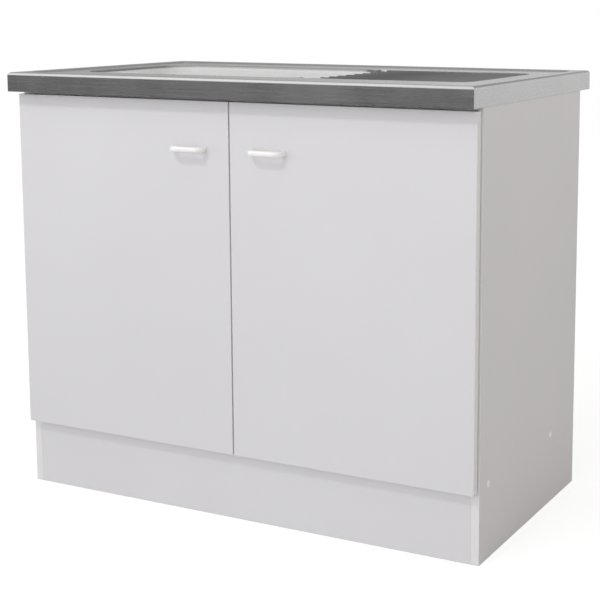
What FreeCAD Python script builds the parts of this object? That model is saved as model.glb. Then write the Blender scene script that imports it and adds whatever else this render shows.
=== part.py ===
import FreeCAD, Part
import math
import os
from FreeCAD import Vector

# Kitchen sink unit: a pressed steel lay-on sink on a two-door melamine cabinet.
# Millimetres. The origin is on the floor, under the middle of the sink top.
# +X is the right-hand side seen from the front, +Y points to the wall, +Z is up.

# ---------------------------------------------------------------- driving sizes
# Overall
sink_width = 1000.0
sink_depth = 600.0
unit_height = 850.0

# Cabinet boards
board = 16.0
edge_round = 0.8
side_overhang = 1.0
front_overhang = 27.0
rear_overhang = 54.5
plinth_height = 132.0
rail_height = 80.0

# Doors
door_gap = 2.5
door_inset = 3.5
meeting_gap = 3.0
door_top_gap = 6.0
door_bottom_gap = 1.0

# Bow handles
handle_spacing = 64.0
handle_from_edge = 52.0
handle_from_top = 90.0
handle_reach = 26.0
handle_bar_height = 11.0
handle_bar_width = 9.0
handle_bend = 11.0
handle_screw_radius = 2.0
handle_screw_play = 0.25
handle_thread_depth = 13.0
handle_thread_spare = 1.0

# Sink sheet
sheet = 1.0
skirt_height = 38.0
nose_radius = 6.0
hem_width = 10.0
rim_width = 24.0
rim_slope = 8.0
deck_drop = 3.0
deck_corner = 22.0
lip_radius = 8.0
lip_depth = 14.0

# Bowl
bowl_width = 525.0
bowl_length = 340.0
bowl_depth = 150.0
bowl_from_left = 66.0
bowl_to_back = 10.0
bowl_corner = 55.0
bowl_floor_radius = 22.0

# Drainer field and its grooves
drainer_from_right = 73.0
drainer_corner = 34.0
drainer_side_margin = 2.0
drainer_depth_far = 1.0
drainer_depth_bowl = 5.0
groove_from_side = 10.0
groove_pitch = 35.0
groove_radius = 22.0
groove_depth = 4.2
groove_rise = 1.0

# Battens glued under the rim, and the brackets that hold the sink down
batten_width = 42.0
batten_clearance = 0.3
bracket_leg = 24.0
bracket_width = 20.0
bracket_plate = 2.0
bracket_from_end = 110.0

# Basket waste in the bowl floor
outlet_radius = 45.0
seat_radius = 58.0
seat_depth = 3.0
waste_flange_radius = 56.0
cup_radius = 42.0
cup_depth = 34.0
cup_sheet = 1.0
cup_play = 1.0
spider_height = 8.0
gasket_thickness = 3.0
body_wall = 3.0
body_flange = 5.0
drum_radius = 30.0
drum_height = 26.0
tail_radius = 23.9
tail_bore = 19.9
tail_length = 24.0
waste_bolt = 6.0
basket_play = 2.0
basket_lip = 4.0
basket_depth = 20.0
basket_rim = 1.5
strainer_hole_radius = 2.5
drain_hole_radius = 3.0
knob_radius = 9.0
knob_height = 14.0

# Overflow
overflow_below_deck = 38.0
overflow_hole_radius = 14.0
overflow_disc_radius = 20.0
overflow_disc = 2.0
overflow_slot = 3.0
overflow_seal = 2.0
overflow_offset = 34.0
pipe_radius = 12.0
pipe_wall = 2.0
pipe_bend = 26.0
pipe_overlap = 15.0
port_length = 18.0
socket_wall = 2.4

# Cup hinges
cup_hole_radius = 17.5
cup_hole_depth = 12.5
cup_from_edge = 3.5
cup_wall = 1.0
cup_flange = 1.5
cup_ear_height = 58.0
cup_ear_width = 20.0
cup_screw_spread = 45.0
cup_screw_offset = 9.5
hinge_from_end = 106.0
hinge_axis_from_edge = 6.0
hinge_opening = 95.0
arm_length = 62.0
arm_height = 18.0
arm_sheet = 1.5
arm_rise = 13.5
arm_pin_x = 15.0
arm_pin_y = 1.0
arm_pin_radius = 1.5
link_reach = 6.0
link_crank = 6.0
link_height = 6.0
link_thickness = 1.6
link_eye = 1.3
plate_thickness = 5.0
plate_from_front = 37.0
plate_height = 50.0
plate_width = 16.0
plate_block = 34.0
plate_screw_spread = 32.0

# Fasteners
screw_play = 0.05
confirmat_radius = 3.2
confirmat_head = 4.9
confirmat_head_depth = 3.5
confirmat_length = 50.0
confirmat_first = 40.0
confirmat_step = 320.0
cap_radius = 6.5
cap_thickness = 0.8
cap_seat = 0.4
dowel_radius = 4.0
dowel_length = 30.0
dowel_in_side = 11.0
dowel_end_play = 0.5
dowel_from_end = 20.0
cam_radius = 7.5
cam_depth = 12.5
cam_slot = 2.0
cam_from_end = 34.0
cam_from_top = 24.0
cam_bolt_radius = 3.2
cam_bolt_in_side = 11.0
wood_screw_radius = 2.0
wood_screw_length = 13.0
wood_screw_head = 4.0
wood_screw_head_height = 2.0
bumper_radius = 4.5
bumper_thickness = 2.2
bumper_inset = 14.0
block_leg = 30.0
block_wall = 4.0
block_width = 18.0
block_from_side = 160.0

# ---------------------------------------------------------------- derived places
front = -sink_depth / 2
back = sink_depth / 2
left = -sink_width / 2
right = sink_width / 2

carcass_half = sink_width / 2 - side_overhang
carcass_top = unit_height - skirt_height
door_front = front + front_overhang
door_back = door_front + board
carcass_front = door_back + door_gap
carcass_back = back - rear_overhang
inner_half = carcass_half - board
floor_top = plinth_height + board

door_bottom = plinth_height + door_bottom_gap
door_top = carcass_top - door_top_gap
door_outer = carcass_half - door_inset
door_inner = meeting_gap / 2

deck_level = unit_height - deck_drop
deck_under = deck_level - sheet
weld_level = deck_level - lip_depth
hem_top = carcass_top + sheet

bowl_left = left + bowl_from_left
bowl_right = bowl_left + bowl_width
bowl_middle = bowl_left + bowl_width / 2
bowl_front = bowl_to_back - bowl_length / 2
bowl_rear = bowl_to_back + bowl_length / 2
bowl_floor = deck_level - bowl_depth
seat_level = bowl_floor - seat_depth
cup_floor = seat_level - cup_depth

drainer_right = right - drainer_from_right
drainer_front = bowl_front + drainer_side_margin
drainer_rear = bowl_rear - drainer_side_margin


# ---------------------------------------------------------------- helpers
nearly = 1e-3


def box(x0, x1, y0, y1, z0, z1):
    return Part.makeBox(x1 - x0, y1 - y0, z1 - z0, Vector(x0, y0, z0))


def rod_x(x0, x1, y, z, radius):
    return Part.makeCylinder(radius, x1 - x0, Vector(x0, y, z), Vector(1, 0, 0))


def rod_y(y0, y1, x, z, radius):
    return Part.makeCylinder(radius, y1 - y0, Vector(x, y0, z), Vector(0, 1, 0))


def rod_z(z0, z1, x, y, radius):
    return Part.makeCylinder(radius, z1 - z0, Vector(x, y, z0), Vector(0, 0, 1))


def mirrored(shape):
    """The same piece on the other side of the unit."""
    return shape.mirror(Vector(0, 0, 0), Vector(1, 0, 0))


def panel(x0, x1, y0, y1, z0, z1):
    """A melamine board with its banded edges eased."""
    blank = box(x0, x1, y0, y1, z0, z1)
    return blank.makeFillet(edge_round, blank.Edges)


def rounded_outline(x0, x1, y0, y1, z, radius):
    """A closed rectangle with round corners, at the height z."""
    centres = [
        (x1 - radius, y1 - radius),
        (x0 + radius, y1 - radius),
        (x0 + radius, y0 + radius),
        (x1 - radius, y0 + radius),
    ]
    arcs = []
    for quarter, (cx, cy) in enumerate(centres):
        points = []
        for share in (0, 0.5, 1):
            angle = (quarter + share) * math.pi / 2
            points.append(Vector(cx + radius * math.cos(angle), cy + radius * math.sin(angle), z))
        arcs.append(Part.Arc(*points).toShape())
    edges = []
    for arc, following in zip(arcs, arcs[1:] + arcs[:1]):
        edges.append(arc)
        edges.append(Part.makeLine(arc.Vertexes[-1].Point, following.Vertexes[0].Point))
    return Part.Wire(edges)


def rounded_block(x0, x1, y0, y1, z0, z1, radius):
    outline = rounded_outline(x0, x1, y0, y1, z0, radius)
    return Part.Face(outline).extrude(Vector(0, 0, z1 - z0))


def turned(profile, x, y):
    """A solid of revolution about the vertical line through x, y."""
    points = [Vector(x + radius, y, z) for radius, z in profile]
    face = Part.Face(Part.makePolygon(points + points[:1]))
    return face.revolve(Vector(x, y, 0), Vector(0, 0, 1), 360)


def edges_at(shape, z, x_low=-math.inf, x_high=math.inf):
    """The edges that lie wholly at one height, between two values of x."""
    found = []
    for edge in shape.Edges:
        b = edge.BoundBox
        level = abs(b.ZMin - z) < nearly and abs(b.ZMax - z) < nearly
        if level and b.XMin > x_low and b.XMax < x_high:
            found.append(edge)
    return found


def bent_path(points, bend):
    """Straight runs through the points, joined by arcs of one radius."""
    edges = []
    start = points[0]
    for before, corner, after in zip(points, points[1:], points[2:]):
        inward = (before - corner).normalize()
        outward = (after - corner).normalize()
        half_turn = inward.getAngle(outward) / 2
        enter = corner + inward * (bend / math.tan(half_turn))
        leave = corner + outward * (bend / math.tan(half_turn))
        bisector = (inward + outward).normalize()
        middle = corner + bisector * (bend / math.sin(half_turn) - bend)
        edges.append(Part.makeLine(start, enter))
        edges.append(Part.Arc(enter, middle, leave).toShape())
        start = leave
    edges.append(Part.makeLine(start, points[-1]))
    return edges


def rod_along(points, radius, bend):
    """A round rod along a bent path."""
    heading = (points[1] - points[0]).normalize()
    section = Part.Wire([Part.makeCircle(radius, points[0], heading)])
    return Part.Wire(bent_path(points, bend)).makePipeShell([section], True, False)


def save(name, *solids):
    shape = solids[0] if len(solids) == 1 else Part.makeCompound(list(solids))
    shape.exportStep("parts/" + name + ".step")


# ---------------------------------------------------------------- small fasteners
def pan_screw(seat, way, length, radius=wood_screw_radius):
    """A pan-head screw: seat is the centre of the flat under its head, way points to its tip."""
    top = seat - way * wood_screw_head_height
    head = Part.makeCylinder(wood_screw_head, wood_screw_head_height, top, way)
    rim = [e for e in head.Edges if e.Closed and (e.CenterOfMass - top).Length < nearly]
    head = head.makeFillet(wood_screw_head_height * 0.6, rim)
    shank = Part.makeCylinder(radius, length, seat, way)
    return head.fuse(shank).removeSplitter()


def screw_bore(seat, way, length=wood_screw_length):
    """The hole that a wood screw passes through or is driven into."""
    return Part.makeCylinder(wood_screw_radius + screw_play, length + screw_play, seat, way)


def wood_screws(places):
    return [pan_screw(seat, way, wood_screw_length) for seat, way in places]


def screw_bores(places):
    return [screw_bore(seat, way) for seat, way in places]


def short_edges(shape, length):
    """The edges of one length: the corners of a thin plate are as long as it is thick."""
    return [edge for edge in shape.Edges if abs(edge.Length - length) < nearly]


# ---------------------------------------------------------------- cabinet boards
plinth_back = carcass_front + board
rear_rail_front = carcass_back - board
rail_bottom = carcass_top - rail_height
rail_places = [
    (carcass_front, plinth_back, rail_bottom, carcass_top),
    (rear_rail_front, carcass_back, rail_bottom, carcass_top),
    (rear_rail_front, carcass_back, floor_top, floor_top + rail_height),
]
rail_joints = [((y0 + y1) / 2, z1 - cam_from_top, z0 + dowel_from_end) for y0, y1, z0, z1 in rail_places]

confirmat_z = plinth_height + board / 2
confirmat_y = [carcass_front + confirmat_first, carcass_front + confirmat_first + confirmat_step]

dowel_places = [(y, dowel_z) for y, cam_z, dowel_z in rail_joints]
dowel_places.append((sum(confirmat_y) / 2, confirmat_z))
for height in (dowel_from_end, plinth_height - dowel_from_end):
    dowel_places.append(((carcass_front + plinth_back) / 2, height))


def joint_bores():
    """The bores across the joints between the left side panel and the boards that meet it."""
    bores = []
    for y, z in dowel_places:
        x0 = -inner_half - dowel_in_side
        bores.append(rod_x(x0, x0 + dowel_length + dowel_end_play, y, z, dowel_radius + screw_play))
    for y, cam_z, dowel_z in rail_joints:
        x0 = -inner_half - cam_bolt_in_side
        bores.append(rod_x(x0, -inner_half + cam_from_end, y, cam_z, cam_bolt_radius + screw_play))
    for y in confirmat_y:
        tip = -carcass_half + confirmat_length + dowel_end_play
        bores.append(rod_x(-carcass_half, tip, y, confirmat_z, confirmat_radius + screw_play))
        socket = -carcass_half + confirmat_head_depth
        bores.append(rod_x(-carcass_half, socket, y, confirmat_z, confirmat_head + screw_play))
    return bores


def cam_place(rail):
    """The cam's x, its open face in y, the way its bore runs, and its height."""
    y0, y1, z0, z1 = rail
    inside_face = y1 if y0 == carcass_front else y0
    way = -1 if y0 == carcass_front else 1
    return -inner_half + cam_from_end, inside_face, way, z1 - cam_from_top


def cam_bore(rail, radius):
    x, face, way, z = cam_place(rail)
    return Part.makeCylinder(radius, cam_depth, Vector(x, face, z), Vector(0, way, 0))


def cam_lock(rail):
    """A round cam with a cross bore for its bolt and a screwdriver slot in its face."""
    x, face, way, z = cam_place(rail)
    cam = cam_bore(rail, cam_radius)
    middle = (rail[0] + rail[1]) / 2
    cross = rod_x(x - 2 * cam_radius, x + cam_radius / 3, middle, z, cam_bolt_radius + screw_play)
    slot = box(x - cam_radius / 2, x + cam_radius / 2, face - cam_slot, face + cam_slot,
               z - cam_slot / 2, z + cam_slot / 2)
    return cam.cut([cross, slot])


def cam_bolt(rail):
    x, face, way, z = cam_place(rail)
    y = (rail[0] + rail[1]) / 2
    start = -inner_half - cam_bolt_in_side
    return rod_x(start, x, y, z, cam_bolt_radius)


def cross_board(y0, y1, z0, z1, extra):
    """A board between the side panels, bored alike at both ends."""
    bores = joint_bores() + extra
    return panel(-inner_half, inner_half, y0, y1, z0, z1).cut(bores + [mirrored(bore) for bore in bores])


def confirmat(y):
    """A countersunk cabinet screw through the side panel into the bottom panel's edge."""
    seat = -carcass_half + cap_seat
    head = rod_x(seat, -carcass_half + confirmat_head_depth, y, confirmat_z, confirmat_head)
    shank = rod_x(seat, -carcass_half + confirmat_length, y, confirmat_z, confirmat_radius)
    socket = rod_x(seat, seat + confirmat_head_depth / 2, y, confirmat_z, confirmat_radius * 0.6)
    return head.fuse(shank).removeSplitter().cut(socket)


def screw_cap(y):
    """A domed cover cap, stuck flat on the side panel over a screw."""
    disc = rod_x(-carcass_half - cap_thickness, -carcass_half, y, confirmat_z, cap_radius)
    rim = [e for e in disc.Edges if e.Closed and e.BoundBox.XMax < -carcass_half - cap_thickness / 2]
    return disc.makeFillet(cap_thickness * 0.7, rim)


def dowel(y, z):
    x0 = -inner_half - dowel_in_side
    pin = rod_x(x0, x0 + dowel_length, y, z, dowel_radius)
    ends = [e for e in pin.Edges if e.Closed]
    return pin.makeChamfer(dowel_radius * 0.25, ends)


# ---------------------------------------------------------------- plinth blocks
block_x = [-block_from_side, block_from_side]


def block_screws(x):
    """Seats and ways of the two screws of one corner block: into the plinth, and into the bottom panel."""
    low = plinth_height - block_leg + wood_screw_head + block_wall / 2
    rear = plinth_back + block_leg - wood_screw_head - block_wall / 2
    return [
        (Vector(x, plinth_back + block_wall, low), Vector(0, -1, 0)),
        (Vector(x, rear, plinth_height - block_wall), Vector(0, 0, 1)),
    ]


def corner_block(x):
    """A moulded angle that ties the plinth board to the bottom panel, with two gussets."""
    x0 = x - block_width / 2
    x1 = x + block_width / 2
    upright = box(x0, x1, plinth_back, plinth_back + block_wall, plinth_height - block_leg, plinth_height)
    ledge = box(x0, x1, plinth_back, plinth_back + block_leg, plinth_height - block_wall, plinth_height)
    gusset_wall = block_wall / 2
    inner_y = plinth_back + block_wall / 2
    inner_z = plinth_height - block_wall / 2
    reach = block_leg - block_wall
    corner = Vector(x0, inner_y, inner_z)
    outline = [corner, corner + Vector(0, reach, 0), corner - Vector(0, 0, reach), corner]
    gusset = Part.Face(Part.makePolygon(outline)).extrude(Vector(gusset_wall, 0, 0))
    other = gusset.translated(Vector(block_width - gusset_wall, 0, 0))
    block = upright.fuse([ledge, gusset, other]).removeSplitter()
    return block.cut(screw_bores(block_screws(x)))


def corner_block_bores():
    return [bore for x in block_x for bore in screw_bores(block_screws(x))]


# ---------------------------------------------------------------- cup hinges
# A hinge is worked out beside the left door and mirrored for the right one. The door turns on a
# fixed axis that stands for the moving centre of the real linkage. The link swings on the
# arm's pin, and its free end meets the same place in the cup at both ends of the travel.
hinge_z = [door_bottom + hinge_from_end, door_top - hinge_from_end]
hinge_axis = Vector(-door_outer + hinge_axis_from_edge, (door_front + door_back) / 2, 0)
cup_x = -door_outer + cup_from_edge + cup_hole_radius
cup_screw_x = cup_x + cup_screw_offset
plate_face = -inner_half + plate_thickness
plate_middle = carcass_front + plate_from_front
arm_top = plate_face + arm_rise
arm_pin = Vector(-inner_half + arm_pin_x, carcass_front + arm_pin_y, 0)
arm_nose = arm_pin.y - arm_pin_radius - arm_sheet
arm_screw_y = plate_middle + plate_block / 4


def link_end(door_angle):
    """Where the cup's end of the link lies once the door has turned."""
    to_pin = math.atan2(arm_pin.y - hinge_axis.y, arm_pin.x - hinge_axis.x)
    angle = to_pin + math.radians(hinge_opening / 2 - door_angle)
    return hinge_axis + Vector(math.cos(angle), math.sin(angle), 0) * link_reach


def link_heading(door_angle):
    """The direction from the arm's pin to the cup's end of the link."""
    way = link_end(door_angle) - arm_pin
    return math.atan2(way.y, way.x)


def link_knee():
    """The link's bend, set so that it leaves the cup square to the door once that is fully open."""
    turn = math.radians(hinge_opening) + link_heading(hinge_opening) - link_heading(0)
    return link_end(0) + Vector(math.sin(turn), math.cos(turn), 0) * link_crank


def cup_screws(z):
    seats = [Vector(cup_screw_x, door_back + cup_flange, z + s * cup_screw_spread / 2) for s in (-1, 1)]
    return [(seat, Vector(0, -1, 0)) for seat in seats]


def plate_screws(z):
    seats = [Vector(plate_face, plate_middle, z + s * plate_screw_spread / 2) for s in (-1, 1)]
    return [(seat, Vector(-1, 0, 0)) for seat in seats]


def hinge_cup(z):
    """A deep-drawn cup with a screw ear above and below, let into the back of the door."""
    outer = cup_hole_radius - screw_play
    flange_back = door_back + cup_flange
    drawn = rod_y(door_back - cup_hole_depth + screw_play, flange_back, cup_x, z, outer)
    ear_x0 = cup_screw_x - cup_ear_width / 2
    ear_z0 = z - cup_ear_height / 2
    ear = box(ear_x0, ear_x0 + cup_ear_width, door_back, flange_back, ear_z0, ear_z0 + cup_ear_height)
    ear = ear.makeFillet(cup_ear_width * 0.3, short_edges(ear, cup_flange))
    well_floor = door_back - cup_hole_depth + screw_play + cup_wall
    well = rod_y(well_floor, flange_back, cup_x, z, outer - cup_wall)
    return drawn.fuse(ear).removeSplitter().cut([well] + screw_bores(cup_screws(z)))


def strap(start, end):
    """A straight run of the link's sheet."""
    way = (end - start).normalize()
    side = Vector(-way.y, way.x, 0) * (link_thickness / 2)
    outline = Part.makePolygon([start + side, end + side, end - side, start - side, start + side])
    return Part.Face(outline).extrude(Vector(0, 0, link_height))


def hinge_link(z):
    """A cranked steel link with a rolled eye at each end."""
    low = Vector(0, 0, z - link_height / 2)
    near = arm_pin + low
    knee = link_knee() + low
    far = link_end(0) + low
    pin_eye = Part.makeCylinder(arm_pin_radius + link_thickness / 2, link_height, near)
    bend = Part.makeCylinder(link_thickness / 2, link_height, knee)
    cup_eye = Part.makeCylinder(link_eye, link_height, far)
    bore = Part.makeCylinder(arm_pin_radius + screw_play, link_height, near)
    runs = [strap(knee, far), pin_eye, bend, cup_eye]
    return strap(near, knee).fuse(runs).removeSplitter().cut(bore)


def hinge_arm(z):
    """A folded channel over the plate's block. Its open nose carries the link's pin."""
    half = arm_height / 2
    inner = half - arm_sheet
    rear = arm_nose + arm_length
    shell = box(plate_face, arm_top, arm_nose, rear, z - half, z + half)
    folds = [e for e in short_edges(shell, arm_length) if e.BoundBox.XMin > plate_face]
    shell = shell.makeFillet(arm_sheet * 1.2, folds)
    hollow = box(plate_face, arm_top - arm_sheet, arm_nose, rear, z - inner, z + inner)
    window = box(plate_face, arm_top, arm_nose, plate_middle - plate_block / 2, z - inner, z + inner)
    clamp = rod_x(plate_face, arm_top, arm_screw_y, z, wood_screw_radius + screw_play)
    pin = rod_z(z - half, z + half, arm_pin.x, arm_pin.y, arm_pin_radius)
    return shell.cut([hollow, window, clamp]).fuse(pin).removeSplitter()


def hinge_plate(z):
    """A mounting plate: two screw wings, and a block that fills the arm."""
    half_width = plate_width / 2
    half_height = plate_height / 2
    wings = box(-inner_half, plate_face, plate_middle - half_width, plate_middle + half_width,
                z - half_height, z + half_height)
    wings = wings.makeFillet(plate_width * 0.3, short_edges(wings, plate_thickness))
    half_block = arm_height / 2 - arm_sheet - screw_play
    block_top = arm_top - arm_sheet - screw_play
    block = box(-inner_half, block_top, plate_middle - plate_block / 2, plate_middle + plate_block / 2,
                z - half_block, z + half_block)
    bores = screw_bores(plate_screws(z))
    bores.append(rod_x(-inner_half, block_top, arm_screw_y, z, wood_screw_radius + screw_play))
    return wings.fuse(block).removeSplitter().cut(bores)


def side_hinge_bores():
    return [bore for z in hinge_z for bore in screw_bores(plate_screws(z))]


def arm_screw(z):
    return pan_screw(Vector(arm_top, arm_screw_y, z), Vector(-1, 0, 0), arm_top - plate_face)


# ---------------------------------------------------------------- doors
handle_z = door_top - handle_from_top
handle_inner_x = -door_inner - handle_from_edge
handle_outer_x = handle_inner_x - handle_spacing
bumper_x = -door_inner - bumper_inset
bumper_z = [plinth_height + board / 2, carcass_top - rail_height / 2]


def door():
    """The left door: bored for its two cups, their screws and the two handle screws."""
    leaf = panel(-door_outer, -door_inner, door_front, door_back, door_bottom, door_top)
    bores = []
    for z in hinge_z:
        bores.append(rod_y(door_back - cup_hole_depth, door_back, cup_x, z, cup_hole_radius))
        bores += screw_bores(cup_screws(z))
    for x in (handle_inner_x, handle_outer_x):
        bores.append(rod_y(door_front, door_back, x, handle_z, handle_screw_radius + handle_screw_play))
    return leaf.cut(bores)


def handle():
    """A bow handle: an oval bar carried round two bends, with a threaded foot at each end."""
    bar_y = door_front - handle_reach + handle_bar_width / 2
    path = [
        Vector(handle_outer_x, door_front, handle_z),
        Vector(handle_outer_x, bar_y, handle_z),
        Vector(handle_inner_x, bar_y, handle_z),
        Vector(handle_inner_x, door_front, handle_z),
    ]
    edges = bent_path(path, handle_bend)
    tall = path[0] + Vector(0, 0, handle_bar_height / 2)
    wide = path[0] + Vector(handle_bar_width / 2, 0, 0)
    oval = Part.Wire([Part.Ellipse(tall, wide, path[0]).toShape()])
    bow = Part.Wire(edges).makePipeShell([oval], True, False)
    thread = handle_screw_radius + screw_play
    bores = []
    for x in (handle_inner_x, handle_outer_x):
        bores.append(rod_y(door_front - handle_thread_depth, door_front, x, handle_z, thread))
    return bow.cut(bores)


def handle_screws():
    way = Vector(0, -1, 0)
    length = board + handle_thread_depth - handle_thread_spare
    seats = [Vector(x, door_back, handle_z) for x in (handle_outer_x, handle_inner_x)]
    return [pan_screw(seat, way, length, handle_screw_radius) for seat in seats]


def bumper(z):
    """A clear button on the back of the door, which lands on the cabinet's front edge."""
    button = rod_y(door_back, door_back + bumper_thickness, bumper_x, z, bumper_radius)
    rim = [e for e in button.Edges if e.Closed and e.BoundBox.YMin > door_back + bumper_thickness / 2]
    return button.makeFillet(bumper_thickness * 0.5, rim)


# ---------------------------------------------------------------- sink sheet
above_all = unit_height + sheet


def rim_block(inset):
    """The whole sink top as a block, drawn in by the sheet's thickness for its underside."""
    block = box(left + inset, right - inset, front + inset, back - inset, carcass_top, unit_height - inset)
    upper = edges_at(block, unit_height - inset)
    return block.makeFillet(nose_radius - inset, upper)


def deck_pocket(growth, drop):
    """The shallow pan inside the raised rim, with sloping sides."""
    low = rim_width + rim_slope - growth
    high = rim_width - growth
    base = deck_level - drop
    rise = deck_drop
    corner = deck_corner + growth
    floor = rounded_outline(left + low, right - low, front + low, back - low, base, corner)
    wide = corner + rim_slope
    mouth = rounded_outline(left + high, right - high, front + high, back - high, base + rise, wide)
    pan = Part.makeLoft([floor, mouth], True, True)
    over = Part.Face(mouth).extrude(Vector(0, 0, above_all - base - rise))
    return pan.fuse(over)


drainer_fall = (drainer_depth_bowl - drainer_depth_far) / (drainer_right - bowl_right)


def drainer_level(x):
    """Height of the drainer's sloping floor, which falls to the bowl."""
    return deck_level - drainer_depth_far - drainer_fall * (drainer_right - x)


def drainer_pan(growth):
    """The sloping drainer field, open to the bowl."""
    x0 = bowl_right - lip_radius - growth
    plan = rounded_block(x0 - drainer_corner, drainer_right + growth, drainer_front - growth,
                         drainer_rear + growth, weld_level, above_all, drainer_corner + growth)
    z0 = drainer_level(x0) - growth
    z1 = drainer_level(drainer_right + growth) - growth
    wedge = [Vector(x0, front, z0), Vector(drainer_right + growth, front, z1),
             Vector(drainer_right + growth, front, above_all), Vector(x0, front, above_all)]
    above = Part.Face(Part.makePolygon(wedge + wedge[:1])).extrude(Vector(0, sink_depth, 0))
    return plan.common(above)


groove_span = drainer_rear - drainer_front - 2 * groove_from_side
groove_count = int(groove_span / groove_pitch) + 1
groove_first = (drainer_front + drainer_rear - (groove_count - 1) * groove_pitch) / 2


def groove(index, growth):
    """A long rod, tilted so that it sinks into the drainer floor towards the bowl."""
    y = groove_first + index * groove_pitch
    start = Vector(drainer_right, y, drainer_level(drainer_right) + groove_radius + groove_rise)
    end = Vector(bowl_right - lip_radius, y, drainer_level(bowl_right) + groove_radius - groove_depth)
    way = end - start
    return Part.makeCylinder(groove_radius + growth, way.Length + growth, start, way)


def bowl_prism(growth, z0, z1):
    """The bowl's outline in plan, grown by the sheet where that is asked, between two heights."""
    return rounded_block(bowl_left - growth, bowl_right + growth, bowl_front - growth, bowl_rear + growth,
                         z0, z1, bowl_corner + growth)


def sink_deck():
    """Rim, skirt, hem, deck and grooved drainer in one sheet: an outer form less its underside."""
    slope = math.atan2(deck_drop, rim_slope)
    side_growth = sheet * math.tan(slope / 2)

    upper = rim_block(0).cut([deck_pocket(0, 0), bowl_prism(0, carcass_top, above_all)])
    upper = upper.makeFillet(lip_radius, edges_at(upper, deck_level, bowl_left - 1, bowl_right + 1))
    under = rim_block(sheet).cut([deck_pocket(side_growth, sheet), bowl_prism(sheet, carcass_top, above_all)])
    under = under.makeFillet(lip_radius - sheet, edges_at(under, deck_under, bowl_left - 2, bowl_right + 2))

    upper = upper.cut([drainer_pan(0)] + [groove(i, 0) for i in range(groove_count)])
    under = under.cut([drainer_pan(sheet)] + [groove(i, sheet) for i in range(groove_count)])

    hem_hole = box(left + hem_width, right - hem_width, front + hem_width, back - hem_width,
                   carcass_top, hem_top)
    void = under.cut(box(left, right, front, back, carcass_top, hem_top))
    trim = bowl_prism(3 * sheet, carcass_top, weld_level)
    return upper.cut(void).cut(hem_hole).cut(trim)


def bowl_form(growth):
    """The inside of the bowl, or its outside when grown by the sheet."""
    base = bowl_floor - growth
    form = bowl_prism(growth, base, weld_level)
    form = form.makeFillet(bowl_floor_radius + growth, edges_at(form, base))
    seat = rod_z(seat_level - growth, bowl_floor, bowl_middle, bowl_to_back, seat_radius + growth)
    return form.fuse(seat)


overflow_z = deck_level - overflow_below_deck


def sink_bowl():
    """The bowl, welded to the deck's lip, with a dished seat round its outlet and an overflow hole."""
    outlet = rod_z(seat_level - 2 * sheet, bowl_floor, bowl_middle, bowl_to_back, outlet_radius)
    spill = rod_x(bowl_right - sheet, bowl_right + 2 * sheet, bowl_to_back, overflow_z, overflow_hole_radius)
    return bowl_form(sheet).cut([bowl_form(0), outlet, spill])


# ---------------------------------------------------------------- battens and brackets
batten_out = sheet + batten_clearance
batten_ease = max(nose_radius - deck_drop - sheet, edge_round)


def batten_ring():
    """Front, rear, left and right battens under the rim, standing on the hem.

    Their outer upper edges are eased to clear the inside of the sheet's bend.
    """
    x0 = left + batten_out
    x1 = right - batten_out
    y0 = front + batten_out
    y1 = back - batten_out
    z0 = hem_top
    z1 = deck_under
    block = box(x0, x1, y0, y1, z0, z1)
    block = block.makeChamfer(batten_ease, edges_at(block, z1))
    y_front = y0 + batten_width
    y_rear = y1 - batten_width
    return {
        "batten_front": block.common(box(x0, x1, y0, y_front, z0, z1)),
        "batten_rear": block.common(box(x0, x1, y_rear, y1, z0, z1)),
        "batten_left": block.common(box(x0, x0 + batten_width, y_front, y_rear, z0, z1)),
        "batten_right": block.common(box(x1 - batten_width, x1, y_front, y_rear, z0, z1)),
    }


bracket_y = [carcass_front + bracket_from_end, carcass_back - bracket_from_end]


def bracket_screws(y):
    x = -inner_half + bracket_plate
    down = hem_top - bracket_leg / 2 - wood_screw_head / 2
    across = -inner_half + bracket_leg / 2 + wood_screw_head / 2
    return [
        (Vector(x, y, down), Vector(-1, 0, 0)),
        (Vector(across, y, hem_top - bracket_plate), Vector(0, 0, 1)),
    ]


def bracket(y):
    """A steel angle between a side panel and the batten above it."""
    y0 = y - bracket_width / 2
    y1 = y + bracket_width / 2
    upright = box(-inner_half, -inner_half + bracket_plate, y0, y1, hem_top - bracket_leg, hem_top)
    ledge = box(-inner_half, -inner_half + bracket_leg, y0, y1, hem_top - bracket_plate, hem_top)
    return upright.fuse(ledge).removeSplitter().cut(screw_bores(bracket_screws(y)))


def bracket_bores():
    return [bore for y in bracket_y for bore in screw_bores(bracket_screws(y))]


# ---------------------------------------------------------------- basket waste
gasket_top = seat_level - sheet
body_top = gasket_top - gasket_thickness
throat = cup_radius + cup_play
drum_top = cup_floor - body_flange
port_z = drum_top - drum_height / 2
tail_top = drum_top - drum_height
tail_end = tail_top - tail_length
bolt_play_radius = waste_bolt / 2 + screw_play
port_radius = pipe_radius - pipe_wall - screw_play


def ring_holes(rings, radius, z0, z1):
    """Round holes on circles about the outlet: each ring has a radius and a count."""
    holes = []
    for ring, count in rings:
        for i in range(count):
            angle = 2 * math.pi * i / count
            x = bowl_middle + ring * math.cos(angle)
            y = bowl_to_back + ring * math.sin(angle)
            holes.append(rod_z(z0, z1, x, y, radius))
    return holes


def waste_cup():
    """The steel strainer cup that drops through the outlet, with a ring of drain holes in its floor."""
    inner = cup_radius - cup_sheet
    profile = [
        (bolt_play_radius, cup_floor), (cup_radius, cup_floor), (cup_radius, seat_level),
        (waste_flange_radius, seat_level), (waste_flange_radius, seat_level + cup_sheet),
        (inner, seat_level + cup_sheet), (inner, cup_floor + cup_sheet),
        (bolt_play_radius, cup_floor + cup_sheet),
    ]
    cup = turned(profile, bowl_middle, bowl_to_back)
    rings = ((cup_radius * 0.35, 6), (cup_radius * 0.65, 12))
    return cup.cut(ring_holes(rings, drain_hole_radius, cup_floor, cup_floor + cup_sheet))


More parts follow.
